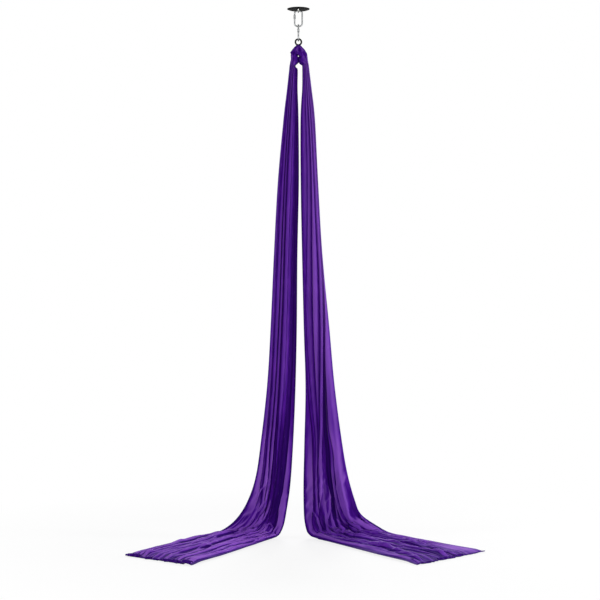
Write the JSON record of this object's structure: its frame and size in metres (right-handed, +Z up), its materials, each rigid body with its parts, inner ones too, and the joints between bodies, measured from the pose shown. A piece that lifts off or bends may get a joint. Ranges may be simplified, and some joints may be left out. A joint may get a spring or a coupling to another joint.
{
  "type": "aerial silks",
  "caption": "Aerial silks: a long cloth hitched to a rescue eight and hung by screw-gate carabiners from a round ceiling plate, its tails spreading over the floor.",
  "frame": {"origin": "middle of the ceiling plate's flat upper face, where it meets the ceiling", "axes": "+Z up out of the ceiling face, +X to the right seen from the front, -Y towards the front, where the tails lie on the floor"},
  "size_m": [2.2, 1.0533, 3.443],
  "materials": {
    "black_steel": "satin black powder coat",
    "bright_steel": "bright drawn bar",
    "zinc_steel": "bright zinc plate",
    "dark_steel": "bare spring steel",
    "black_alloy": "black anodised",
    "purple_cloth": "satin nylon tricot knit"
  },
  "bodies": {
    "ceiling_mount": {"ceiling_plate": "black_steel", "eye_staple": "bright_steel"},
    "upper_carabiner": {"upper_carabiner_body": "zinc_steel", "upper_gate_rivet": "zinc_steel"},
    "upper_gate": {"upper_gate": "zinc_steel", "upper_latch_pin": "dark_steel", "upper_gate_spring": "zinc_steel", "upper_gate_plunger": "dark_steel"},
    "upper_lock_sleeve": {"upper_lock_sleeve": "zinc_steel"},
    "lower_carabiner": {"lower_carabiner_body": "zinc_steel", "lower_gate_rivet": "zinc_steel"},
    "lower_gate": {"lower_gate": "zinc_steel", "lower_latch_pin": "dark_steel", "lower_gate_spring": "zinc_steel", "lower_gate_plunger": "dark_steel"},
    "lower_lock_sleeve": {"lower_lock_sleeve": "zinc_steel"},
    "silk_hanger": {"rescue_eight": "black_alloy", "silk_hitch": "purple_cloth", "silk_tail_left": "purple_cloth", "silk_tail_right": "purple_cloth"}
  },
  "joints": [
    {"name": "upper_carabiner_swing", "type": "hinge", "parent": "ceiling_mount", "child": "upper_carabiner", "pos_m": [0, 0, -0.0117], "axis": [1, 0, 0], "range_deg": [-30, 30]},
    {"name": "upper_gate_hinge", "type": "hinge", "parent": "upper_carabiner", "child": "upper_gate", "pos_m": [-0.0245, 0, -0.0892], "axis": [0, 1, 0], "range_deg": [0, 25], "stiffness_Nm_per_rad": 0.1, "springref_deg": -28.65},
    {"name": "upper_sleeve_slide", "type": "slide", "parent": "upper_gate", "child": "upper_lock_sleeve", "axis": [0, 0, 1], "range_m": [0, 0.0095]},
    {"name": "lower_carabiner_swing", "type": "hinge", "parent": "upper_carabiner", "child": "lower_carabiner", "pos_m": [0, 0, -0.1039], "axis": [0, 1, 0], "range_deg": [-30, 30]},
    {"name": "lower_gate_hinge", "type": "hinge", "parent": "lower_carabiner", "child": "lower_gate", "pos_m": [0, -0.0245, -0.1814], "axis": [-1, 0, 0], "range_deg": [0, 25], "stiffness_Nm_per_rad": 0.1, "springref_deg": -28.65},
    {"name": "lower_sleeve_slide", "type": "slide", "parent": "lower_gate", "child": "lower_lock_sleeve", "axis": [0, 0, 1], "range_m": [0, 0.0095]},
    {"name": "eight_swing", "type": "hinge", "parent": "lower_carabiner", "child": "silk_hanger", "pos_m": [0, 0, -0.1956], "axis": [1, 0, 0], "range_deg": [-30, 30]}
  ]
}
